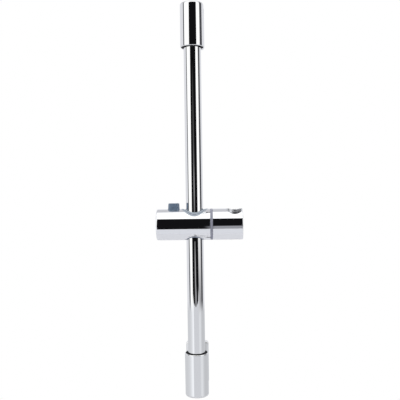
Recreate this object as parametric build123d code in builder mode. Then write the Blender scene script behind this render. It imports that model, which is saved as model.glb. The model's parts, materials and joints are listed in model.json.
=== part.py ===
from build123d import *
import os
from math import cos, radians, sin, sqrt

# Shower slide rail. X runs to the right, Y into the wall and Z up, in millimetres.
# The wall is the plane Y = 0, and the origin lies on it midway between the two wall screws.

# Rail and fits
rail_standoff = 46.0
screw_spacing = 506.0
tube_diameter = 25.0
tube_wall = 1.0
slide_fit = 0.05
seat_gap = 0.3

# End caps
cap_diameter = 34.4
cap_end_diameter = 34.0
cap_length = 63.0
cap_wall = 1.4
cap_end_thickness = 2.0
cap_corner = 3.0
cap_lip = 1.1
cap_boss_diameter = 12.0

# Wall brackets
backplate_width = 34.0
backplate_height = 63.0
backplate_depth = 10.0
backplate_corner = 4.0
backplate_edge = 2.0
backplate_wall = 2.0
backplate_front = 2.5
bracket_lift = 6.0
neck_width = 14.0
neck_height = 38.0
neck_corner = 5.0
neck_foot_width = 22.0
neck_foot_height = 44.0
hook_depth = 1.8
hook_width = 18.0

# Wall plates and their screws
wall_plate_thickness = 5.0
wall_screw_hole = 5.5
wall_screw_head = 10.4
set_screw_diameter = 4.0
set_screw_setback = 2.9
set_screw_recess = 0.5
set_screw_key = 2.0
screw_boss_width = 10.0
screw_boss_height = 3.0
dimple_depth = 1.5

# Tube plugs
plug_depth = 14.0
plug_wall = 2.0
plug_flange = 2.5
plug_flange_diameter = 30.4
spigot_diameter = 8.0

# Slider body
slider_drop = 34.0
slider_diameter = 45.2
shell_wall = 1.6
shell_end = 2.0
shell_corner = 2.0
shell_edge = 0.4
key_slot_length = 6.4
key_slot_width = 1.5
key_slot_angle = 37.7
key_depth = 2.5
key_sink = 0.9

# Collar round the tube
collar_flare = 2.0
collar_wall = 1.3
collar_sink = 0.1
guide_sink = 0.5
guide_wall = 0.9
liner_thickness = 0.75
liner_length = 32.0
liner_slit = 2.0

# Release button and brake
button_to_end = 25.0
button_width = 16.8
button_depth = 17.0
button_corner = 4.5
button_proud = 8.4
button_skirt = 10.0
button_top_inset = 0.7
button_edge = 1.2
button_wall = 1.8
button_travel = 3.0
button_lug = 1.5
button_lug_width = 6.0
button_lug_height = 2.5
well_wall = 2.2
stem_width = 6.0
stem_left = 4.0
stem_right = 3.5
wedge_slope = 0.5
brake_width = 12.0
brake_height = 10.0
brake_length = 29.0
pad_thickness = 2.0
spring_pocket = 5.0
spring_diameter = 7.0
spring_wire = 1.0
spring_turns = 6.0
brake_end_wall = 1.95

# Tilting holder
ring_width = 3.1
ring_edge = 0.3
holder_root = 20.0
holder_corner = 1.2
holder_tilt = 14.0
socket_top_diameter = 24.0
socket_bottom_diameter = 20.0
socket_edge = 0.6
hose_slot = 15.0
slot_lip = 2.0
hub_diameter = 21.0
hub_bearing = 7.1
skin_wall = 2.4
core_depth = 11.0
chamber_diameter = 15.4
axle_diameter = 8.0
axle_thread = 6.0
axle_head_diameter = 12.0
axle_head = 3.2
axle_key = 5.0
axle_key_depth = 2.0
washer_diameter = 14.0
washer_thickness = 1.2
disc_spring_thickness = 0.7
disc_spring_cone = 0.9
nut_across_flats = 10.0
nut_thickness = 3.2
nut_wall = 2.7
nut_gap = 0.5
peg_diameter = 3.0
peg_length = 1.4
peg_radius = 14.5
cover_thickness = 1.8
cover_skirt = 1.5
cover_setback = 1.0

# Sizes that follow from the ones above
tube_radius = tube_diameter / 2
tube_bore = tube_radius - tube_wall
cap_radius = cap_diameter / 2
cap_bore = cap_radius - cap_wall
clamp_radius = cap_bore - slide_fit
rail_middle = -bracket_lift
cap_middle = screw_spacing / 2 - bracket_lift
tube_length = screw_spacing + neck_height
slider_radius = slider_diameter / 2
slider_height = rail_middle - slider_drop
shell_bore = slider_radius - shell_wall
core_radius = shell_bore - slide_fit
liner_bore = tube_radius + slide_fit
liner_radius = liner_bore + liner_thickness
guide_bore = liner_radius + slide_fit
guide_lip = tube_radius + seat_gap + slide_fit
collar_bottom = guide_bore + guide_wall + slide_fit + collar_wall
collar_top = collar_bottom + collar_flare
well_width = button_width + 2 * button_lug + 2 * seat_gap
button_offset = collar_top + well_wall + well_width / 2
slider_left = button_offset + button_to_end
core_left = slider_left - shell_end - slide_fit
nut_left = (collar_bottom + collar_top) / 2 + nut_gap
slider_right = nut_left + nut_thickness + nut_wall
set_screw_radius = set_screw_diameter / 2

MIN_Z = (Align.CENTER, Align.CENTER, Align.MIN)
MAX_Z = (Align.CENTER, Align.CENTER, Align.MAX)
MIN_X = (Align.MIN, Align.CENTER, Align.CENTER)
ALONG_X = (0, 90, 0)


def section(frame):
    """The plane through a frame's Z axis, where a profile has its radius along X and its height along Y."""
    return Plane(origin=frame.origin, x_dir=frame.x_dir, z_dir=-frame.y_dir)


def outline(plane, points):
    """A closed face with straight sides."""
    with BuildSketch(plane) as profile:
        with BuildLine():
            Polyline(*points, close=True)
        make_face()
    return profile.sketch


def cap(mouth):
    """A cup that hides one end of the tube. The frame is at its mouth, with Z towards its closed end."""
    axis = Axis(mouth.origin, mouth.z_dir)
    inner_length = cap_length - cap_end_thickness
    boss_start = cap_length / 2 + neck_height / 2 + plug_flange + 2 * slide_fit
    with BuildPart(mouth) as cup:
        Cone(cap_radius, cap_end_diameter / 2, cap_length, align=MIN_Z)
        fillet(cup.edges().filter_by(GeomType.CIRCLE).sort_by(axis)[-1], cap_corner)
        Cylinder(cap_bore, inner_length, align=MIN_Z, mode=Mode.SUBTRACT)
        rims = cup.edges().filter_by(GeomType.CIRCLE).sort_by(axis)[:2]
        fillet(rims.sort_by(SortBy.RADIUS)[-1], cap_lip)
        # The boss that grips the plug's spigot
        with Locations((0, 0, boss_start)):
            Cylinder(cap_boss_diameter / 2, inner_length - boss_start, align=MIN_Z)
            Cylinder(
                spigot_diameter / 2 + slide_fit,
                inner_length - boss_start,
                align=MIN_Z,
                mode=Mode.SUBTRACT,
            )
        # The slot for the bracket's neck, open at the mouth
        with BuildSketch(section(mouth)):
            RectangleRounded(
                neck_width + 2 * seat_gap,
                cap_length + neck_height + 2 * seat_gap,
                neck_corner + seat_gap,
            )
        extrude(amount=-cap_radius, mode=Mode.SUBTRACT)
    return cup.part


def bracket(height):
    """A wall bracket: hollow backplate, flared neck and the ring that holds the tube."""
    wall = Plane(origin=(0, 0, height), x_dir=(1, 0, 0), z_dir=(0, -1, 0))
    rail = Plane(origin=(0, 0, height - bracket_lift), x_dir=(1, 0, 0), z_dir=(0, -1, 0))
    cavity_depth = backplate_depth - backplate_front
    neck_start = rail_standoff - cap_radius
    hook_top = height + backplate_height / 2 - backplate_wall
    floor = height - backplate_height / 2
    with BuildPart() as casting:
        with BuildSketch(wall):
            RectangleRounded(backplate_width, backplate_height, backplate_corner)
        extrude(amount=backplate_depth)
        fillet(casting.faces().sort_by(Axis.Y)[0].edges(), backplate_edge)
        with BuildSketch(wall):
            RectangleRounded(
                backplate_width - 2 * backplate_wall,
                backplate_height - 2 * backplate_wall,
                backplate_corner - backplate_wall,
            )
        extrude(amount=cavity_depth, mode=Mode.SUBTRACT)
        # The neck flares towards the wall
        with BuildSketch(rail.offset(backplate_depth - backplate_front / 2)):
            RectangleRounded(neck_foot_width, neck_foot_height, neck_corner)
        with BuildSketch(rail.offset(neck_start)):
            RectangleRounded(neck_width, neck_height, neck_corner)
        loft()
        with BuildSketch(rail.offset(neck_start)):
            RectangleRounded(neck_width, neck_height, neck_corner)
        extrude(amount=rail_standoff - tube_radius - neck_start)
        with Locations((0, -rail_standoff, height - bracket_lift)):
            Cylinder(clamp_radius, neck_height)
            Cylinder(tube_radius + slide_fit, neck_height, mode=Mode.SUBTRACT)
        # The hook behind the wall plate's top edge
        hook = [(0, hook_top), (0, hook_top - hook_depth), (-hook_depth, hook_top)]
        extrude(outline(Plane.YZ.offset(-hook_width / 2), hook), amount=hook_width)
        # The boss for the set screw, in the bottom wall
        with Locations((0, -cavity_depth / 2, floor + backplate_wall)):
            Box(screw_boss_width, cavity_depth, screw_boss_height, align=MIN_Z)
        with Locations((0, -set_screw_setback, floor)):
            Cylinder(
                set_screw_radius + slide_fit,
                backplate_wall + screw_boss_height,
                align=MIN_Z,
                mode=Mode.SUBTRACT,
            )
    return casting.part


def wall_plate(height):
    """The plate that is screwed to the wall first, bevelled behind its top edge for the hook."""
    bottom = -backplate_height / 2 + backplate_wall + screw_boss_height + seat_gap
    top = backplate_height / 2 - backplate_wall - seat_gap
    bevel = hook_depth + slide_fit
    width = backplate_width - 2 * backplate_wall - 2 * seat_gap
    wall = Plane(origin=(0, 0, height), x_dir=(1, 0, 0), z_dir=(0, -1, 0))
    with BuildPart() as plate:
        with BuildSketch(wall):
            with Locations((0, (top + bottom) / 2)):
                RectangleRounded(width, top - bottom, backplate_corner - backplate_wall)
        extrude(amount=wall_plate_thickness)
        corner = [(0, height + top), (0, height + top - bevel), (-bevel, height + top)]
        extrude(
            outline(Plane.YZ.offset(-width / 2), corner), amount=width, mode=Mode.SUBTRACT
        )
        with Locations(wall.offset(wall_plate_thickness)):
            CounterSinkHole(wall_screw_hole / 2, wall_screw_head / 2)
        # The dimple that the set screw's point presses into
        with Locations((0, -set_screw_setback, height + bottom)):
            Cone(dimple_depth, 0, dimple_depth, align=MIN_Z, mode=Mode.SUBTRACT)
    return plate.part


def fixing_screw(height):
    """A set screw that locks a bracket on its wall plate from below."""
    bottom = -backplate_height / 2 + set_screw_recess
    plate_edge = -backplate_height / 2 + backplate_wall + screw_boss_height + seat_gap
    shank = plate_edge + dimple_depth - seat_gap - set_screw_radius - bottom
    frame = Plane(origin=(0, -set_screw_setback, height + bottom))
    with BuildPart(frame) as screw:
        Cylinder(set_screw_radius, shank, align=MIN_Z)
        with Locations((0, 0, shank)):
            Cone(set_screw_radius, 0, set_screw_radius, align=MIN_Z)
        with BuildSketch(frame):
            RegularPolygon(set_screw_key / 2, 6, major_radius=False)
        extrude(amount=set_screw_key, mode=Mode.SUBTRACT)
    return screw.part


def tube_plug(frame):
    """Plug in a tube end. Its flange rests on the tube and the bracket, and its spigot holds the cap."""
    outer = tube_bore - slide_fit
    inner = outer - plug_wall
    flange = plug_flange_diameter / 2
    spigot = spigot_diameter / 2
    spigot_top = cap_length / 2 - cap_end_thickness - neck_height / 2 - seat_gap
    points = [
        (0, -plug_wall),
        (inner, -plug_wall),
        (inner, -plug_depth),
        (outer, -plug_depth),
        (outer, 0),
        (flange, 0),
        (flange, plug_flange),
        (spigot, plug_flange),
        (spigot, spigot_top - plug_wall / 2),
        (spigot - plug_wall / 2, spigot_top),
        (0, spigot_top),
    ]
    with BuildPart() as plug:
        revolve(outline(section(frame), points), axis=Axis(frame.origin, frame.z_dir))
    return plug.part


def collar_cone(offset, mode):
    """The tapered body of revolution that the shell, the core and the collar share."""
    Cone(
        collar_bottom + offset,
        collar_top + offset,
        slider_diameter,
        mode=mode,
    )


def saddle(sink):
    """Trims a collar to the slider's round outside."""
    Cylinder(slider_radius - sink, slider_diameter, rotation=ALONG_X, mode=Mode.INTERSECT)


def brake_window():
    """The opening that the brake pad reaches the liner through."""
    with Locations((-slider_radius, 0, 0)):
        Box(
            slider_diameter,
            brake_width + 2 * seat_gap,
            brake_height + 2 * seat_gap,
            mode=Mode.SUBTRACT,
        )


# Tube
with BuildPart(Plane(origin=(0, -rail_standoff, rail_middle))) as rail_tube:
    Cylinder(tube_radius, tube_length)
    Cylinder(tube_bore, tube_length, mode=Mode.SUBTRACT)

# End fittings. Both brackets hook on from above, and the caps mirror each other.
upper_height = screw_spacing / 2
lower_height = -screw_spacing / 2
upper_mouth = Plane(origin=(0, -rail_standoff, cap_middle - cap_length / 2))
upper_end = Plane(origin=(0, -rail_standoff, rail_middle + tube_length / 2))
lower_mouth = Plane(
    origin=(0, -rail_standoff, 2 * rail_middle - cap_middle + cap_length / 2),
    x_dir=(-1, 0, 0),
    z_dir=(0, 0, -1),
)
lower_end = Plane(
    origin=(0, -rail_standoff, rail_middle - tube_length / 2), x_dir=(-1, 0, 0), z_dir=(0, 0, -1)
)

# Slider. Its frame is where its own axis crosses the tube's, and its body is a cup closed at the left.
slider = Plane(origin=(0, -rail_standoff, slider_height))
key_places = [
    Location((slider_right, 0, 0), (angle, 0, 0)) * Location((0, 0, slider_radius - key_sink))
    for angle in (key_slot_angle, 180 - key_slot_angle, 180 + key_slot_angle, -key_slot_angle)
]
button_bottom = slider_radius - button_skirt
button_top = slider_radius + button_proud
lug_top = shell_bore - seat_gap - button_lug_width**2 / (8 * shell_bore)

with BuildPart(slider) as slider_shell:
    with Locations((-slider_left, 0, 0)):
        Cylinder(slider_radius, slider_left + slider_right, rotation=ALONG_X, align=MIN_Z)
    ends = slider_shell.edges().filter_by(GeomType.CIRCLE).sort_by(Axis.X)
    fillet(ends[0], shell_corner)
    chamfer(slider_shell.edges().filter_by(GeomType.CIRCLE).sort_by(Axis.X)[-1], shell_edge)
    with Locations((shell_end - slider_left, 0, 0)):
        Cylinder(
            shell_bore,
            slider_left + slider_right - shell_end,
            rotation=ALONG_X,
            align=MIN_Z,
            mode=Mode.SUBTRACT,
        )
    collar_cone(slide_fit, Mode.SUBTRACT)
    with BuildSketch(slider):
        with Locations((-button_offset, 0)):
            RectangleRounded(
                button_width + 2 * seat_gap,
                button_depth + 2 * seat_gap,
                button_corner + seat_gap,
            )
    extrude(amount=slider_radius, mode=Mode.SUBTRACT)
    # Slots at the right edge, where the core's keys show
    with Locations(*key_places):
        Box(2 * key_slot_length, key_slot_width, 2 * key_depth, mode=Mode.SUBTRACT)

# The moulded core that fills the shell and carries the collar, the brake and the axle
brake_face = liner_radius + slide_fit
brake_end = core_left - brake_end_wall
well_floor = button_bottom - button_travel - seat_gap
axle = Plane(origin=slider.origin, x_dir=(0, 0, 1), z_dir=(1, 0, 0))

with BuildPart(slider) as slider_core:
    with Locations((-core_left, 0, 0)):
        Cylinder(core_radius, core_left + slider_right, rotation=ALONG_X, align=MIN_Z)
    with Locations(*key_places):
        Box(
            key_slot_length - seat_gap,
            key_slot_width - 2 * slide_fit,
            key_depth,
            align=(Align.MAX, Align.CENTER, Align.MAX),
        )
    collar_cone(slide_fit, Mode.SUBTRACT)
    # The button's well, and the slot that its stem passes down through
    with Locations((-button_offset, 0, well_floor)):
        Box(
            well_width,
            button_depth + 2 * seat_gap,
            slider_radius,
            align=MIN_Z,
            mode=Mode.SUBTRACT,
        )
    with Locations((-button_offset + (stem_right - stem_left) / 2, 0, 0)):
        Box(
            stem_left + stem_right + 2 * seat_gap,
            stem_width + 2 * seat_gap,
            slider_radius,
            align=MIN_Z,
            mode=Mode.SUBTRACT,
        )
    # The channel that the brake shoe slides in
    with Locations((-brake_end, 0, 0)):
        Box(
            brake_end,
            brake_width + 2 * seat_gap,
            brake_height + 2 * seat_gap,
            align=MIN_X,
            mode=Mode.SUBTRACT,
        )
    # The nut's pocket opens into the collar's hole
    with BuildSketch(axle.offset(collar_bottom)):
        RegularPolygon(nut_across_flats / 2 + slide_fit, 6, major_radius=False)
    extrude(amount=nut_left + nut_thickness - collar_bottom, mode=Mode.SUBTRACT)
    with Locations((nut_left, 0, 0)):
        Cylinder(
            axle_thread / 2 + slide_fit,
            slider_right - nut_left,
            rotation=ALONG_X,
            align=MIN_Z,
            mode=Mode.SUBTRACT,
        )
    # Holes for the friction ring's pegs
    with Locations((slider_right, 0, peg_radius), (slider_right, 0, -peg_radius)):
        Cylinder(
            peg_diameter / 2 + slide_fit,
            peg_length + seat_gap,
            rotation=ALONG_X,
            align=MAX_Z,
            mode=Mode.SUBTRACT,
        )

# Collar: a tapered sleeve that shows round the tube, and the guide bushing inside it
with BuildPart(slider) as bore_sleeve:
    collar_cone(0, Mode.ADD)
    collar_cone(-collar_wall, Mode.SUBTRACT)
    saddle(collar_sink)
    brake_window()

with BuildPart(slider) as guide_bushing:
    collar_cone(-collar_wall - slide_fit, Mode.ADD)
    Cylinder(guide_lip, slider_diameter, mode=Mode.SUBTRACT)
    saddle(guide_sink)
    Cylinder(guide_bore, liner_length + 2 * slide_fit, mode=Mode.SUBTRACT)
    brake_window()

with BuildPart(slider) as glide_liner:
    Cylinder(liner_radius, liner_length)
    Cylinder(liner_bore, liner_length, mode=Mode.SUBTRACT)
    with Locations((liner_radius, 0, 0)):
        Box(2 * liner_slit, liner_slit, liner_length, mode=Mode.SUBTRACT)

# Release button: a hollow cap with lugs that stop it under the shell, and a stem that ends in a wedge
stem_tip = button_travel - brake_height / 2
stem_start = -button_offset - stem_left
stem_end = -button_offset + stem_right
wedge_left = stem_start + wedge_slope * (brake_height / 2 - stem_tip)
stem_top = button_top - button_wall / 2
lug_reach = button_width / 2 + button_lug

with BuildPart(slider) as release_button:
    with BuildSketch(slider.offset(button_bottom)):
        with Locations((-button_offset, 0)):
            RectangleRounded(button_width, button_depth, button_corner)
    extrude(amount=lug_top - button_bottom)
    with BuildSketch(slider.offset(lug_top)):
        with Locations((-button_offset, 0)):
            RectangleRounded(button_width, button_depth, button_corner)
    with BuildSketch(slider.offset(button_top)):
        with Locations((-button_offset, 0)):
            RectangleRounded(
                button_width - 2 * button_top_inset,
                button_depth - 2 * button_top_inset,
                button_corner - button_top_inset,
            )
    loft()
    fillet(release_button.faces().sort_by(Axis.Z)[-1].edges(), button_edge)
    with BuildSketch(slider.offset(button_bottom)):
        with Locations((-button_offset, 0)):
            RectangleRounded(
                button_width - 2 * (button_wall + button_top_inset),
                button_depth - 2 * (button_wall + button_top_inset),
                button_corner - button_wall,
            )
    extrude(amount=button_top - button_bottom - button_wall, mode=Mode.SUBTRACT)
    with Locations((-button_offset - lug_reach, 0, lug_top)):
        Box(
            2 * button_lug,
            button_lug_width,
            button_lug_height,
            align=(Align.MIN, Align.CENTER, Align.MAX),
        )
    with Locations((-button_offset + lug_reach, 0, lug_top)):
        Box(
            2 * button_lug,
            button_lug_width,
            button_lug_height,
            align=(Align.MAX, Align.CENTER, Align.MAX),
        )
    stem = [
        (stem_start, stem_top),
        (stem_start, brake_height / 2),
        (wedge_left, stem_tip),
        (stem_end, stem_tip),
        (stem_end, stem_top),
    ]
    extrude(outline(section(slider), stem), amount=stem_width / 2, both=True)

# Brake: a rubber pad on a shoe, whose window has a slope that the wedge slides on
with BuildPart(slider) as brake_pad:
    with Locations((-brake_face - pad_thickness, 0, 0)):
        Box(pad_thickness + brake_face, brake_width, brake_height, align=MIN_X)
    Cylinder(brake_face, brake_height, mode=Mode.SUBTRACT)

shoe_left = brake_face + brake_length
window_left = stem_start - slide_fit
window_right = stem_end + button_travel * wedge_slope + seat_gap

with BuildPart(slider) as brake_shoe:
    with Locations((-shoe_left, 0, 0)):
        Box(brake_length - pad_thickness, brake_width, brake_height, align=MIN_X)
    window = [
        (window_left, brake_height / 2),
        (window_left + wedge_slope * brake_height, -brake_height / 2),
        (window_right, -brake_height / 2),
        (window_right, brake_height / 2),
    ]
    extrude(
        outline(section(slider), window),
        amount=stem_width / 2 + seat_gap,
        both=True,
        mode=Mode.SUBTRACT,
    )
    with Locations((-shoe_left, 0, 0)):
        Cylinder(
            spring_diameter / 2 + seat_gap,
            spring_pocket,
            rotation=ALONG_X,
            align=MIN_Z,
            mode=Mode.SUBTRACT,
        )

# The spring stands between the shoe's pocket and the end of its channel, and its ends are ground flat
spring_start = axle.offset(-brake_end)
spring_length = brake_end - shoe_left + spring_pocket
with BuildPart(spring_start) as brake_spring:
    with BuildLine():
        coil = Helix(
            spring_length / spring_turns,
            spring_length,
            (spring_diameter - spring_wire) / 2,
            center=spring_start.origin,
            direction=spring_start.z_dir,
        )
    with BuildSketch(Plane(origin=coil @ 0, z_dir=coil % 0)):
        Circle(spring_wire / 2)
    sweep(path=coil, is_frenet=True)
    Cylinder(spring_diameter, spring_length, align=MIN_Z, mode=Mode.INTERSECT)

# Friction ring, pegged to the core
holder_left = slider_right + ring_width + slide_fit
with BuildPart(slider) as friction_ring:
    with Locations((slider_right, 0, 0)):
        Cylinder(slider_radius, ring_width, rotation=ALONG_X, align=MIN_Z)
    chamfer(friction_ring.edges().filter_by(GeomType.CIRCLE), ring_edge)
    with Locations((slider_right, 0, 0)):
        Cylinder(
            axle_diameter / 2 + slide_fit,
            ring_width,
            rotation=ALONG_X,
            align=MIN_Z,
            mode=Mode.SUBTRACT,
        )
    with Locations((slider_right, 0, peg_radius), (slider_right, 0, -peg_radius)):
        Cylinder(peg_diameter / 2, peg_length, rotation=ALONG_X, align=MAX_Z)

# Holder, tilted forwards about the slider's axis
tilt = radians(holder_tilt)
holder = Plane(origin=slider.origin, x_dir=(1, 0, 0), z_dir=(0, -sin(tilt), cos(tilt)))
socket_middle = holder_left + holder_root + socket_top_diameter / 2
slot_start = socket_middle + sqrt(socket_top_diameter**2 - hose_slot**2) / 2
holder_length = slot_start + slot_lip - holder_left
bearing_end = holder_left + hub_bearing
with BuildPart(holder) as handset_holder:
    with Locations((holder_left, 0, 0)):
        Cylinder(slider_radius, holder_length, rotation=ALONG_X, align=MIN_Z)
    fillet(handset_holder.edges().filter_by(GeomType.CIRCLE).sort_by(Axis.X)[-1], holder_corner)
    chamfer(handset_holder.edges().filter_by(GeomType.CIRCLE).sort_by(Axis.X)[0], ring_edge)
    # The space between the skin and the axle's hub, closed by the friction ring
    with Locations((holder_left, 0, 0)):
        Cylinder(
            slider_radius - skin_wall, core_depth, rotation=ALONG_X, align=MIN_Z, mode=Mode.SUBTRACT
        )
        Cylinder(hub_diameter / 2, core_depth, rotation=ALONG_X, align=MIN_Z)
        Cylinder(
            axle_diameter / 2 + slide_fit,
            hub_bearing,
            rotation=ALONG_X,
            align=MIN_Z,
            mode=Mode.SUBTRACT,
        )
    with Locations((bearing_end, 0, 0)):
        Cylinder(
            chamber_diameter / 2,
            socket_middle - bearing_end,
            rotation=ALONG_X,
            align=MIN_Z,
            mode=Mode.SUBTRACT,
        )
    # The handset's conical socket, with a slot that its hose passes through
    with Locations((socket_middle, 0, 0)):
        Cone(
            socket_bottom_diameter / 2,
            socket_top_diameter / 2,
            slider_diameter,
            mode=Mode.SUBTRACT,
        )
        Box(holder_length, hose_slot, slider_diameter, align=MIN_X, mode=Mode.SUBTRACT)
    # The rims of the socket and the slot are rounded
    outside = handset_holder.faces().filter_by(GeomType.CYLINDER).sort_by(SortBy.AREA)[-1]
    straight = outside.edges().filter_by(GeomType.LINE).sort_by(SortBy.LENGTH)[:-1]
    fillet(outside.edges().filter_by(GeomType.BSPLINE) + straight, socket_edge)

# Axle: nut, shoulder screw, washer and disc spring, all on the slider's axis
spring_face = bearing_end + slide_fit
washer_face = spring_face + disc_spring_cone + disc_spring_thickness
head_face = washer_face + washer_thickness
head_end = head_face + axle_head
shoulder = axle_diameter / 2
thread = axle_thread / 2

with BuildPart() as axle_nut:
    with BuildSketch(axle.offset(nut_left)):
        RegularPolygon(nut_across_flats / 2, 6, major_radius=False)
        Circle(thread + slide_fit, mode=Mode.SUBTRACT)
    extrude(amount=nut_thickness)

with BuildPart() as axle_bolt:
    bolt = [
        (0, nut_left),
        (thread, nut_left),
        (thread, slider_right),
        (shoulder, slider_right),
        (shoulder, head_face),
        (axle_head_diameter / 2, head_face),
        (axle_head_diameter / 2, head_end),
        (0, head_end),
    ]
    revolve(outline(section(axle), bolt), axis=Axis(axle.origin, axle.z_dir))
    chamfer(axle_bolt.edges().filter_by(GeomType.CIRCLE).sort_by(Axis.X)[-1], ring_edge)
    with BuildSketch(axle.offset(head_end)):
        RegularPolygon(axle_key / 2, 6, major_radius=False)
    extrude(amount=-axle_key_depth, mode=Mode.SUBTRACT)

with BuildPart() as axle_washer:
    with BuildSketch(axle.offset(washer_face)):
        Circle(washer_diameter / 2)
        Circle(shoulder + slide_fit, mode=Mode.SUBTRACT)
    extrude(amount=washer_thickness)

with BuildPart() as axle_spring:
    disc = [
        (washer_diameter / 2, spring_face),
        (washer_diameter / 2, spring_face + disc_spring_thickness),
        (shoulder + slide_fit, washer_face),
        (shoulder + slide_fit, washer_face - disc_spring_thickness),
    ]
    revolve(outline(section(axle), disc), axis=Axis(axle.origin, axle.z_dir))

# The cover is pushed into the chamber from the socket
cover_right = socket_middle - socket_top_diameter / 2 - cover_setback
cover_radius = chamber_diameter / 2 - slide_fit
cover_plane = axle.offset(cover_right - cover_thickness)
with BuildPart() as axle_cover:
    with BuildSketch(cover_plane):
        Circle(cover_radius)
    extrude(amount=cover_thickness)
    chamfer(axle_cover.edges().sort_by(Axis.X)[-1], ring_edge)
    with BuildSketch(cover_plane):
        Circle(cover_radius)
        Circle(cover_radius - cover_skirt, mode=Mode.SUBTRACT)
    extrude(amount=-cover_skirt)

pieces = {
    "rail_tube": rail_tube.part,
    "upper_cap": cap(upper_mouth),
    "lower_cap": cap(lower_mouth),
    "upper_bracket": bracket(upper_height),
    "lower_bracket": bracket(lower_height),
    "upper_wall_plate": wall_plate(upper_height),
    "lower_wall_plate": wall_plate(lower_height),
    "upper_fixing_screw": fixing_screw(upper_height),
    "lower_fixing_screw": fixing_screw(lower_height),
    "upper_tube_plug": tube_plug(upper_end),
    "lower_tube_plug": tube_plug(lower_end),
    "slider_shell": slider_shell.part,
    "slider_core": slider_core.part,
    "bore_sleeve": bore_sleeve.part,
    "guide_bushing": guide_bushing.part,
    "glide_liner": glide_liner.part,
    "release_button": release_button.part,
    "brake_pad": brake_pad.part,
    "brake_shoe": brake_shoe.part,
    "brake_spring": brake_spring.part,
    "friction_ring": friction_ring.part,
    "handset_holder": handset_holder.part,
    "axle_nut": axle_nut.part,
    "axle_bolt": axle_bolt.part,
    "axle_washer": axle_washer.part,
    "axle_spring": axle_spring.part,
    "axle_cover": axle_cover.part,
}
os.makedirs("parts", exist_ok=True)
for name, solid in pieces.items():
    solid.label = name
    export_step(solid, f"parts/{name}.step")
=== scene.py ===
import json
from math import pi, radians

import bpy
from mathutils import Matrix, Vector


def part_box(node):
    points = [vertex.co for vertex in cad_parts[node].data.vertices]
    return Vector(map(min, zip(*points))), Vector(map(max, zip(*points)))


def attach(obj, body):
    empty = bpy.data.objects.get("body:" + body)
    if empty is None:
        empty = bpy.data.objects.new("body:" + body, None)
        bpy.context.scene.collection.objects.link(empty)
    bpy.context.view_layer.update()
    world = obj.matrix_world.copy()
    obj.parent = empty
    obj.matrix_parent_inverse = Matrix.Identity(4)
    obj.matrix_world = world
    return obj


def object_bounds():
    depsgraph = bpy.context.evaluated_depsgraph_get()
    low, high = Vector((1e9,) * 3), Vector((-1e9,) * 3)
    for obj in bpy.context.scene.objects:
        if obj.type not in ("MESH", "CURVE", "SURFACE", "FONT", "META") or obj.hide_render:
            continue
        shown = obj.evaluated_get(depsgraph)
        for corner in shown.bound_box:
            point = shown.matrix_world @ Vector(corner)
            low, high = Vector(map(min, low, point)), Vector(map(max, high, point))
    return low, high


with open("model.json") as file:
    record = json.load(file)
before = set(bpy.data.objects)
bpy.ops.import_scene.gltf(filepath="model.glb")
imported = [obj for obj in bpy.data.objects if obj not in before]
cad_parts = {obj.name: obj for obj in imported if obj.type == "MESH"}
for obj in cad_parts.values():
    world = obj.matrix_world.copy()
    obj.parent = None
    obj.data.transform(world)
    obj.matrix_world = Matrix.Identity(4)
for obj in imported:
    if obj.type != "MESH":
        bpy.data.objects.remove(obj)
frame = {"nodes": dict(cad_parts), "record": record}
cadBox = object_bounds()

scene = bpy.context.scene
nodes = frame["nodes"]


def boxOf(node):
    low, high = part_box(node)
    return Vector(low), Vector(high)


tubeLow, tubeHigh = boxOf("rail_tube")
railX = (tubeLow.x + tubeHigh.x) / 2
railY = (tubeLow.y + tubeHigh.y) / 2
ringLow, ringHigh = boxOf("friction_ring")
sliderZ = (ringLow.z + ringHigh.z) / 2
sliderRadius = (ringHigh.z - ringLow.z) / 2

# Camera. The photograph was taken from eye height, a little to the right, and leans slightly.
view = {
    "distance": 0.884,     # from the tube's axis
    "right": 0.028,
    "height": 0.020,       # above the middle of the two wall screws
    "turn": -1.29,         # degrees, to the left
    "dip": 1.6,            # degrees, downwards
    "lean": 0.83,          # degrees, clockwise
    "focal": 609.0,        # in pixels of the 400 pixel frame
    "frame": 400.0,
    "sensor": 36.0,        # millimetres
    "nearest": 0.01,
}


def buildCamera():
    data = bpy.data.cameras.new("camera")
    data.sensor_width = view["sensor"]
    data.lens = view["sensor"] * view["focal"] / view["frame"]
    data.clip_start = view["nearest"]
    camera = bpy.data.objects.new("camera", data)
    scene.collection.objects.link(camera)
    level = Matrix.Rotation(radians(90), 4, "X")
    turn = Matrix.Rotation(radians(-view["turn"]), 4, "Z")
    dip = Matrix.Rotation(radians(-view["dip"]), 4, "X")
    lean = Matrix.Rotation(radians(-view["lean"]), 4, "Z")
    place = Matrix.Translation((railX + view["right"], railY - view["distance"], view["height"]))
    camera.matrix_world = place @ turn @ level @ dip @ lean
    scene.camera = camera
    print("camera", view["distance"], "m from the tube")


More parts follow.
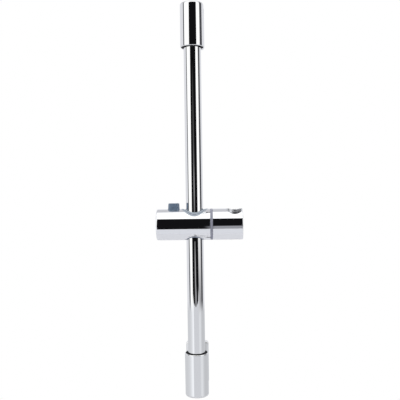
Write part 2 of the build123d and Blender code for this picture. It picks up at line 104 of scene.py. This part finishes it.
# One socket of a node tree, so that shader maths reads as plain arithmetic
class Wire:
    def __init__(self, tree, socket=None):
        self.tree = tree
        self.socket = socket

    def make(self, kind, settings=None, inputs=None, out=0):
        node = self.tree.nodes.new("ShaderNode" + kind)
        for name, value in (settings or {}).items():
            if name == "stops":
                setStops(node.color_ramp, value)
            else:
                setattr(node, name, value)
        for name, value in (inputs or {}).items():
            if isinstance(value, Wire):
                self.tree.links.new(value.socket, node.inputs[name])
            else:
                node.inputs[name].default_value = value
        return Wire(self.tree, node.outputs[out])

    def maths(self, operation, *values, clamp=False):
        return self.make("Math", {"operation": operation, "use_clamp": clamp}, dict(enumerate(values)))

    def __add__(self, other):
        return self.maths("ADD", self, other)

    def __radd__(self, other):
        return self.maths("ADD", other, self)

    def __sub__(self, other):
        return self.maths("SUBTRACT", self, other)

    def __rsub__(self, other):
        return self.maths("SUBTRACT", other, self)

    def __mul__(self, other):
        return self.maths("MULTIPLY", self, other)

    def __rmul__(self, other):
        return self.maths("MULTIPLY", other, self)

    def __truediv__(self, other):
        return self.maths("DIVIDE", self, other)

    # 0 below an edge and 1 above it, with a soft step
    def above(self, edge, soft):
        return self.maths("MULTIPLY_ADD", self, 1 / soft, 0.5 - edge / soft, clamp=True)

    # One colour where this mask is 0, and another where it is 1
    def mix(self, below, above):
        sockets = {"Factor": self, "A": below, "B": above}
        return self.make("Mix", {"data_type": "RGBA"}, sockets, out="Result")

    # The x, y and z of a vector
    def parts(self):
        split = self.tree.nodes.new("ShaderNodeSeparateXYZ")
        self.tree.links.new(self.socket, split.inputs[0])
        return [Wire(self.tree, out) for out in split.outputs]


def setStops(ramp, stops):
    while len(ramp.elements) > 1:
        ramp.elements.remove(ramp.elements[-1])
    for index, (place, colour) in enumerate(stops):
        element = ramp.elements[0] if index == 0 else ramp.elements.new(place)
        element.position = place
        element.color = (*colour, 1.0)


white = (1.0, 1.0, 1.0, 1.0)

# Studio light. Directions are in degrees: round from the front towards the right, and up over the top.
# Each patch of the room has its two ends, its bottom and top, and its colour. A slant is how far its
# left end goes round for each degree up.
studio = {
    "walls": {"colour": (0.81, 0.815, 0.86)},
    "leftBox": {"colour": (1.17, 1.17, 1.17), "round": (-79.5, -20), "rise": (-90, 90)},
    "rightBox": {"colour": (1.17, 1.17, 1.17), "round": (35, 80), "rise": (-90, 90)},
    "leftGap": {"colour": (0.05, 0.055, 0.065), "round": (-92, -79.5), "rise": (-90, 45)},
    "rightGap": {"colour": (0.08, 0.08, 0.09), "round": (80, 112), "rise": (-90, 45)},
    "leftFoot": {"colour": (0.30, 0.31, 0.34), "round": (-79.5, -72), "rise": (-90, -5), "fade": 8.0},
    "rightFoot": {"colour": (0.30, 0.30, 0.32), "round": (41, 80), "rise": (-90, -7), "fade": 9.0},
    "darkRoom": {"colour": (0.006, 0.006, 0.007), "round": (-35, 43.5), "rise": (-10.9, 45), "slant": 0.47},
    "darkFoot": {"colour": (0.006, 0.006, 0.007), "round": (-27.8, 36.8), "rise": (-32, -9.9)},
    "sill": {"colour": (0.66, 0.66, 0.68), "round": (34, 52), "rise": (-12, -10.3)},
    "desk": {"colour": (0.30, 0.30, 0.33), "round": (-0.4, 14), "rise": (-32, -10)},
    "top": {"colour": (1.17, 1.17, 1.17), "from": 45},
    "topBehind": {"colour": (0.58, 0.58, 0.61), "from": 30, "over": 105},
    "floor": {"edge": -11.5, "tint": (0.965, 0.98, 1.03)},
    "floorLight": [(-180, 0.68), (-100, 0.71), (-72, 0.77), (-58, 0.87), (-44, 1.02), (-34, 1.06),
                   (-15, 0.72), (20, 0.68), (36, 0.78), (56, 0.86), (72, 0.72), (84, 0.63),
                   (103, 0.62), (180, 0.66)],
    "soft": 1.0,
}


def buildWorld():
    world = bpy.data.worlds.new("studio")
    scene.world = world
    world.use_nodes = True
    tree = world.node_tree
    tree.nodes.clear()
    start = Wire(tree)
    x, y, z = start.make("TexCoord", out="Generated").parts()
    toDegrees = 180 / pi
    front = 0 - y
    around = start.maths("ARCTAN2", x, front) * toDegrees
    rise = start.maths("ARCSINE", z) * toDegrees
    over = start.maths("ARCTAN2", z, front) * toDegrees
    soft = studio["soft"]

    def rgb(name):
        return (*studio[name]["colour"], 1.0)

    def patch(light, name):
        row = studio[name]
        left, right = row["round"]
        bottom, top = row["rise"]
        slanted = around - rise * row.get("slant", 0.0)
        across = slanted.above(left, soft) * (1 - around.above(right, soft))
        upright = rise.above(bottom, soft) * (1 - rise.above(top, row.get("fade", soft)))
        return (across * upright).mix(light, rgb(name))

    light = rgb("walls")
    for name in ("leftBox", "rightBox", "leftGap", "rightGap", "leftFoot", "rightFoot"):
        light = patch(light, name)
    # The floor reaches the foot of the walls, and is brighter towards the softboxes
    tint = studio["floor"]["tint"]
    stops = [
        ((degree + 180) / 360, tuple(level * part for part in tint))
        for degree, level in studio["floorLight"]
    ]
    floorLight = start.make("ValToRGB", {"stops": stops}, {"Fac": around / 360.0 + 0.5})
    light = (1 - rise.above(studio["floor"]["edge"], soft)).mix(light, floorLight)
    for name in ("darkRoom", "darkFoot", "sill", "desk"):
        light = patch(light, name)
    # The ceiling softbox, and the ceiling behind it
    behind = over.above(studio["topBehind"]["over"], soft)
    light = (rise.above(studio["topBehind"]["from"], soft) * behind).mix(light, rgb("topBehind"))
    light = (rise.above(studio["top"]["from"], soft) * (1 - behind)).mix(light, rgb("top"))
    light = start.make("LightPath", out="Is Camera Ray").mix(light, white)
    shade = start.make("Background", {}, {"Color": light, "Strength": 1.0})
    output = tree.nodes.new("ShaderNodeOutputWorld")
    tree.links.new(shade.socket, output.inputs["Surface"])
    print("studio light with", len(stops), "levels along the floor")


def newMaterial(name):
    material = bpy.data.materials.new(name)
    material.use_nodes = True
    material.node_tree.nodes.clear()
    return material, Wire(material.node_tree)


def finishMaterial(material, shade):
    tree = material.node_tree
    output = tree.nodes.new("ShaderNodeOutputMaterial")
    tree.links.new(shade.socket, output.inputs["Surface"])


# Finishes. Noise scales are in waves a metre. The slider's plating is given a brighter colour and a little
# less roughness and haze than the plating of the tube, the caps and the brackets.
chromes = {
    "rail_chrome": {"colour": (0.87, 0.875, 0.87), "roughness": 0.025, "haze": 0.02},
    "slider_chrome": {"colour": (0.975, 0.985, 0.995), "roughness": 0.02, "haze": 0.015},
}
plating = {"hazeScale": 60.0, "rippleScale": 35.0, "rippleStrength": 0.05, "rippleHeight": 0.0002}
sliderChromeParts = ("slider_shell", "handset_holder", "axle_cover")

# Inside the caps, past their mouths, the chrome gives way to a dark matt colour: painted shade in the gap
# round the tube
capInside = {
    "parts": ("upper_cap", "lower_cap"),
    "radius": 0.0161,
    "end": 0.001,          # how far from its closed end the inside starts
    "soft": 0.0001,
    # the dark colour of the painted shade inside the caps
    "colour": (0.07, 0.07, 0.076),
    "roughness": 0.5,
    "uneven": 0.1,
}

# The handset's cone has rubbed the plating in the socket, so it mirrors less sharply there. Deeper down,
# the chrome's colour is darkened with painted shade, which grows with the depth in the socket
socketMount = next(row for row in frame["record"]["mounts"] if row["name"] == "handset_socket")
socket = {
    "middle": socketMount["pos_m"],
    "axis": socketMount["axis"],
    "radius": 0.0124,
    "soft": 0.0004,
    "rubbed": 0.30,
    # painted shade deep in the socket: past this depth the chrome's colour is darkened to this share
    "socketShade": {"depth": -0.0095, "soft": 0.003, "dark": 0.12},
}


# How far a place is inside the handset socket, and how much painted shade it gets deeper down in it
def socketMasks(start, place):
    offset = start.make("VectorMath", {"operation": "SUBTRACT"}, {0: place, 1: socket["middle"]})
    along = {0: offset, 1: socket["axis"]}
    across = start.make("VectorMath", {"operation": "CROSS_PRODUCT"}, along)
    radius = start.make("VectorMath", {"operation": "LENGTH"}, {0: across}, out="Value")
    depth = start.make("VectorMath", {"operation": "DOT_PRODUCT"}, along, out="Value")
    within = 1 - radius.above(socket["radius"], socket["soft"])
    # painted shade: the colour gets darker deeper in the socket
    socketShade = within * (1 - depth.above(socket["socketShade"]["depth"], socket["socketShade"]["soft"]))
    return within, socketShade


# Where a cap's inside is painted with shade. Its closed end is outside, so it stays plated.
def capMask(place):
    x, y, z = place.parts()
    squared = (x - railX) * (x - railX) + (y - railY) * (y - railY)
    radius = squared.maths("SQRT", squared)
    bottom = boxOf("lower_cap")[0].z + capInside["end"]
    top = boxOf("upper_cap")[1].z - capInside["end"]
    soft = capInside["soft"]
    return (1 - radius.above(capInside["radius"], soft)) * z.above(bottom, soft) * (1 - z.above(top, soft))


def chromeMaterial(name, shadedInside=False, withSocket=False):
    chrome = chromes[name]
    material, start = newMaterial(name)
    place = start.make("TexCoord", out="Object")
    haze = start.make("TexNoise", {}, {"Vector": place, "Scale": plating["hazeScale"], "Detail": 3.0})
    ripple = start.make("TexNoise", {}, {"Vector": place, "Scale": plating["rippleScale"], "Detail": 1.0})
    bump = start.make(
        "Bump",
        {},
        {"Height": ripple, "Strength": plating["rippleStrength"], "Distance": plating["rippleHeight"]},
    )
    roughness = haze * chrome["haze"] + chrome["roughness"]
    colour = (*chrome["colour"], 1.0)
    if withSocket:
        within, socketShade = socketMasks(start, place)
        # painted shade, which darkens the chrome's colour deep in the socket
        dark = tuple(part * socket["socketShade"]["dark"] for part in chrome["colour"])
        roughness = roughness + within * socket["rubbed"]
        colour = socketShade.mix(colour, (*dark, 1.0))
    shade = start.make(
        "BsdfPrincipled",
        {},
        {"Base Color": colour, "Metallic": 1.0, "Roughness": roughness, "Normal": bump},
    )
    # painted shade: a dark matt colour inside the caps
    if shadedInside:
        capShadeRoughness = haze * capInside["uneven"] + capInside["roughness"]
        capShade = start.make(
            "BsdfPrincipled",
            {},
            {"Base Color": (*capInside["colour"], 1.0), "Roughness": capShadeRoughness},
        )
        shade = start.make("MixShader", {}, {0: capMask(place), 1: shade, 2: capShade})
    finishMaterial(material, shade)
    return material


plastics = {
    "plate_plastic": {"colour": (0.62, 0.63, 0.66), "roughness": 0.5, "grain": 900.0},
    "core_plastic": {"colour": (0.03, 0.031, 0.035), "roughness": 0.5, "grain": 900.0},
    "collar_plastic": {"colour": (0.28, 0.30, 0.40), "roughness": 0.42, "grain": 900.0},
    "guide_plastic": {"colour": (0.56, 0.64, 0.72), "roughness": 0.38, "grain": 900.0},
    "button_plastic": {"colour": (0.215, 0.29, 0.40), "roughness": 0.24, "grain": 900.0},
    "ring_plastic": {"colour": (0.44, 0.45, 0.54), "roughness": 0.42, "grain": 900.0},
    "pad_rubber": {"colour": (0.02, 0.02, 0.022), "roughness": 0.7, "grain": 700.0},
}
moulding = {
    "cloudScale": 80.0,
    "cloudShade": 0.94,    # how much of its colour a plastic keeps in the darkest clouds
    "cloudEnds": (0.35, 0.65),
    "grainStrength": 0.12,
    "grainHeight": 0.0001,
    "uneven": 0.1,         # how far the roughness varies
    "ior": 1.46,
}


def plasticMaterial(name):
    finish = plastics[name]
    material, start = newMaterial(name)
    place = start.make("TexCoord", out="Object")
    grain = start.make("TexNoise", {}, {"Vector": place, "Scale": finish["grain"], "Detail": 3.0})
    cloud = start.make("TexNoise", {}, {"Vector": place, "Scale": moulding["cloudScale"], "Detail": 2.0})
    shaded = tuple(part * moulding["cloudShade"] for part in finish["colour"])
    stops = list(zip(moulding["cloudEnds"], (shaded, finish["colour"])))
    tint = start.make("ValToRGB", {"stops": stops}, {"Fac": cloud})
    uneven = moulding["uneven"]
    bump = start.make(
        "Bump",
        {},
        {"Height": grain, "Strength": moulding["grainStrength"], "Distance": moulding["grainHeight"]},
    )
    shade = start.make(
        "BsdfPrincipled",
        {},
        {
            "Base Color": tint,
            "Roughness": grain * uneven + finish["roughness"] - uneven / 2,
            "IOR": moulding["ior"],
            "Normal": bump,
        },
    )
    finishMaterial(material, shade)
    return material


steel = {"colour": (0.55, 0.55, 0.56), "roughness": 0.3, "uneven": 0.2, "grain": 500.0}


def steelMaterial():
    material, start = newMaterial("steel")
    place = start.make("TexCoord", out="Object")
    grain = start.make("TexNoise", {}, {"Vector": place, "Scale": steel["grain"], "Detail": 3.0})
    shade = start.make(
        "BsdfPrincipled",
        {},
        {
            "Base Color": (*steel["colour"], 1.0),
            "Metallic": 1.0,
            "Roughness": grain * steel["uneven"] + steel["roughness"] - steel["uneven"] / 2,
        },
    )
    finishMaterial(material, shade)
    return material


def dressNodes():
    finishes = {name: plasticMaterial(name) for name in plastics}
    finishes.update({name: chromeMaterial(name) for name in chromes})
    finishes["cap_chrome"] = chromeMaterial("rail_chrome", shadedInside=True)
    finishes["holder_chrome"] = chromeMaterial("slider_chrome", withSocket=True)
    finishes["steel"] = steelMaterial()
    for row in frame["record"]["subparts"]:
        piece = nodes[row["node"]]
        finish = row["material_slot"]
        if row["node"] in capInside["parts"]:
            finish = "cap_chrome"
        elif row["node"] == "handset_holder":
            finish = "holder_chrome"
        elif finish == "chrome":
            finish = "slider_chrome" if row["node"] in sliderChromeParts else "rail_chrome"
        material = finishes[finish]
        for slot in piece.material_slots:
            slot.material = material
    print("finishes on", len(nodes), "parts")
    return finishes


# The floor lies far below the rail, as in a bathroom, so no shadow reaches the picture. It glows
# towards the camera, to look as white as the background, and very little in the chrome.
floor = {
    "depth": 0.70,
    "radius": 1.6,
    "sides": 96,
    "colour": (0.74, 0.745, 0.78),
    "toCamera": 0.6,
    "toChrome": 0.08,
}


def buildFloor():
    bpy.ops.object.select_all(action="DESELECT")
    bpy.ops.mesh.primitive_circle_add(
        vertices=floor["sides"],
        radius=floor["radius"],
        fill_type="NGON",
        location=(railX, railY, cadBox[0][2] - floor["depth"]),
    )
    plane = bpy.context.object
    plane.name = "floor"
    material, start = newMaterial("floor")
    seen = start.make("LightPath", out="Is Camera Ray")
    mirrored = start.make("LightPath", out="Is Glossy Ray")
    matt = start.make("BsdfDiffuse", {}, {"Color": (*floor["colour"], 1.0)})
    strength = seen * floor["toCamera"] + mirrored * floor["toChrome"]
    glow = start.make("Emission", {}, {"Color": white, "Strength": strength})
    finishMaterial(material, start.make("AddShader", {}, {0: matt, 1: glow}))
    plane.data.materials.append(material)
    print("floor", floor["depth"], "m below the rail")


# An upright plane in front of the rail that only the chrome sees
def addReflector(name, forward, sides, heights, material):
    bpy.ops.object.select_all(action="DESELECT")
    bpy.ops.mesh.primitive_plane_add(size=1.0)
    plane = bpy.context.object
    plane.name = name
    left, right = sides
    bottom, top = heights
    plane.data.transform(
        Matrix.Translation((railX + (left + right) / 2, railY - forward, (bottom + top) / 2))
        @ Matrix.Rotation(radians(90), 4, "X")
        @ Matrix.Diagonal((right - left, top - bottom, 1.0, 1.0))
    )
    plane.data.materials.append(material)
    plane.visible_camera = False
    plane.visible_diffuse = False
    plane.visible_shadow = False


# A pale card low in front of the rail, which ends the dark stripe on the tube
card = {
    "forward": 0.272,
    "sides": (-0.142, 0.205),
    "heights": (-0.70, -0.210),
    "colour": (0.69, 0.70, 0.745),
}


def buildCard():
    material, start = newMaterial("low_card")
    finishMaterial(material, start.make("Emission", {}, {"Color": (*card["colour"], 1.0)}))
    addReflector("low_card", card["forward"], card["sides"], card["heights"], material)
    print("low card from", *card["heights"], "m")


# The collar's thin lip, which lies on the shell round the upper mouth of the bore. It is the part
# of a short ring that lies between two cylinders about the slider's own axis.
lip = {
    "inner": 0.0172,
    "outer": 0.0188,
    "sunk": 0.0003,        # below the shell's surface
    "proud": 0.00022,      # above it
    "edge": 0.00012,
    "edgeSteps": 2,
    "edgeAngle": 40,       # degrees, past which an edge is rounded
    "smoothAngle": 30,
    "height": 0.040,       # of the ring before it is cut
    "boreHeight": 0.060,
    "shellLength": 0.12,
    "sides": 192,
    "shellSides": 384,
}


def addRod(name, radius, length, along, middle, sides):
    bpy.ops.object.select_all(action="DESELECT")
    bpy.ops.mesh.primitive_cylinder_add(vertices=sides, radius=radius, depth=length)
    rod = bpy.context.object
    rod.name = name
    turn = Matrix.Rotation(radians(90), 4, "Y") if along == "x" else Matrix.Identity(4)
    rod.data.transform(Matrix.Translation(middle) @ turn)
    return rod


def cut(piece, tool, operation):
    bpy.ops.object.select_all(action="DESELECT")
    piece.select_set(True)
    bpy.context.view_layer.objects.active = piece
    row = piece.modifiers.new("cut", "BOOLEAN")
    row.operation = operation
    row.solver = "EXACT"
    row.object = tool
    bpy.ops.object.modifier_apply(modifier="cut")
    bpy.data.objects.remove(tool)


def buildLip(finishes):
    centre = Vector((railX, railY, sliderZ))
    above = centre + Vector((0, 0, lip["height"] / 2))
    sides, length, shellSides = lip["sides"], lip["shellLength"], lip["shellSides"]
    ring = addRod("collar_lip", lip["outer"], lip["height"], "z", above, sides)
    cut(ring, addRod("bore", lip["inner"], lip["boreHeight"], "z", above, sides), "DIFFERENCE")
    outside, inside = sliderRadius + lip["proud"], sliderRadius - lip["sunk"]
    cut(ring, addRod("outside", outside, length, "x", centre, shellSides), "INTERSECT")
    cut(ring, addRod("inside", inside, length, "x", centre, shellSides), "DIFFERENCE")
    row = ring.modifiers.new("edges", "BEVEL")
    row.width = lip["edge"]
    row.segments = lip["edgeSteps"]
    row.limit_method = "ANGLE"
    row.angle_limit = radians(lip["edgeAngle"])
    bpy.ops.object.modifier_apply(modifier="edges")
    bpy.ops.object.shade_smooth_by_angle(angle=radians(lip["smoothAngle"]))
    ring.data.materials.clear()
    ring.data.materials.append(finishes["guide_plastic"])
    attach(ring, "slider")
    print("lip with", len(ring.data.polygons), "faces")


# Two thin strips of light close to the tube, above and below the slider, which draw the grey line
# in its dark stripe. Both have the same side edges, and each has its own bottom and top. The glow is
# given at heights in metres.
strips = {
    "forward": 0.020,
    "tint": (1.0, 1.0, 1.03),
    "sides": (-0.0015, 0.0019),
    "heights": {"upper_strip": (-0.024, 0.20), "lower_strip": (-0.160, -0.0645)},
    "glow": [(-0.160, 0.26), (-0.110, 0.38), (-0.090, 0.33), (-0.068, 0.18), (-0.024, 0.18),
             (0.010, 0.30), (0.030, 0.27), (0.050, 0.15), (0.080, 0.09), (0.110, 0.075),
             (0.170, 0.03), (0.200, 0.0)],
}


def buildStrips():
    material, start = newMaterial("strips")
    height = start.make("TexCoord", out="Object").parts()[2]
    low, high = strips["glow"][0][0], strips["glow"][-1][0]
    stops = [
        ((level - low) / (high - low), tuple(glow * part for part in strips["tint"]))
        for level, glow in strips["glow"]
    ]
    light = start.make("ValToRGB", {"stops": stops}, {"Fac": (height - low) / (high - low)})
    finishMaterial(material, start.make("Emission", {}, {"Color": light}))
    for name, heights in strips["heights"].items():
        addReflector(name, strips["forward"], strips["sides"], heights, material)
    print("strips of light:", len(strips["heights"]))


scene.view_settings.view_transform = "Standard"
buildCamera()
buildWorld()
finishes = dressNodes()
buildFloor()
buildCard()
buildStrips()
buildLip(finishes)
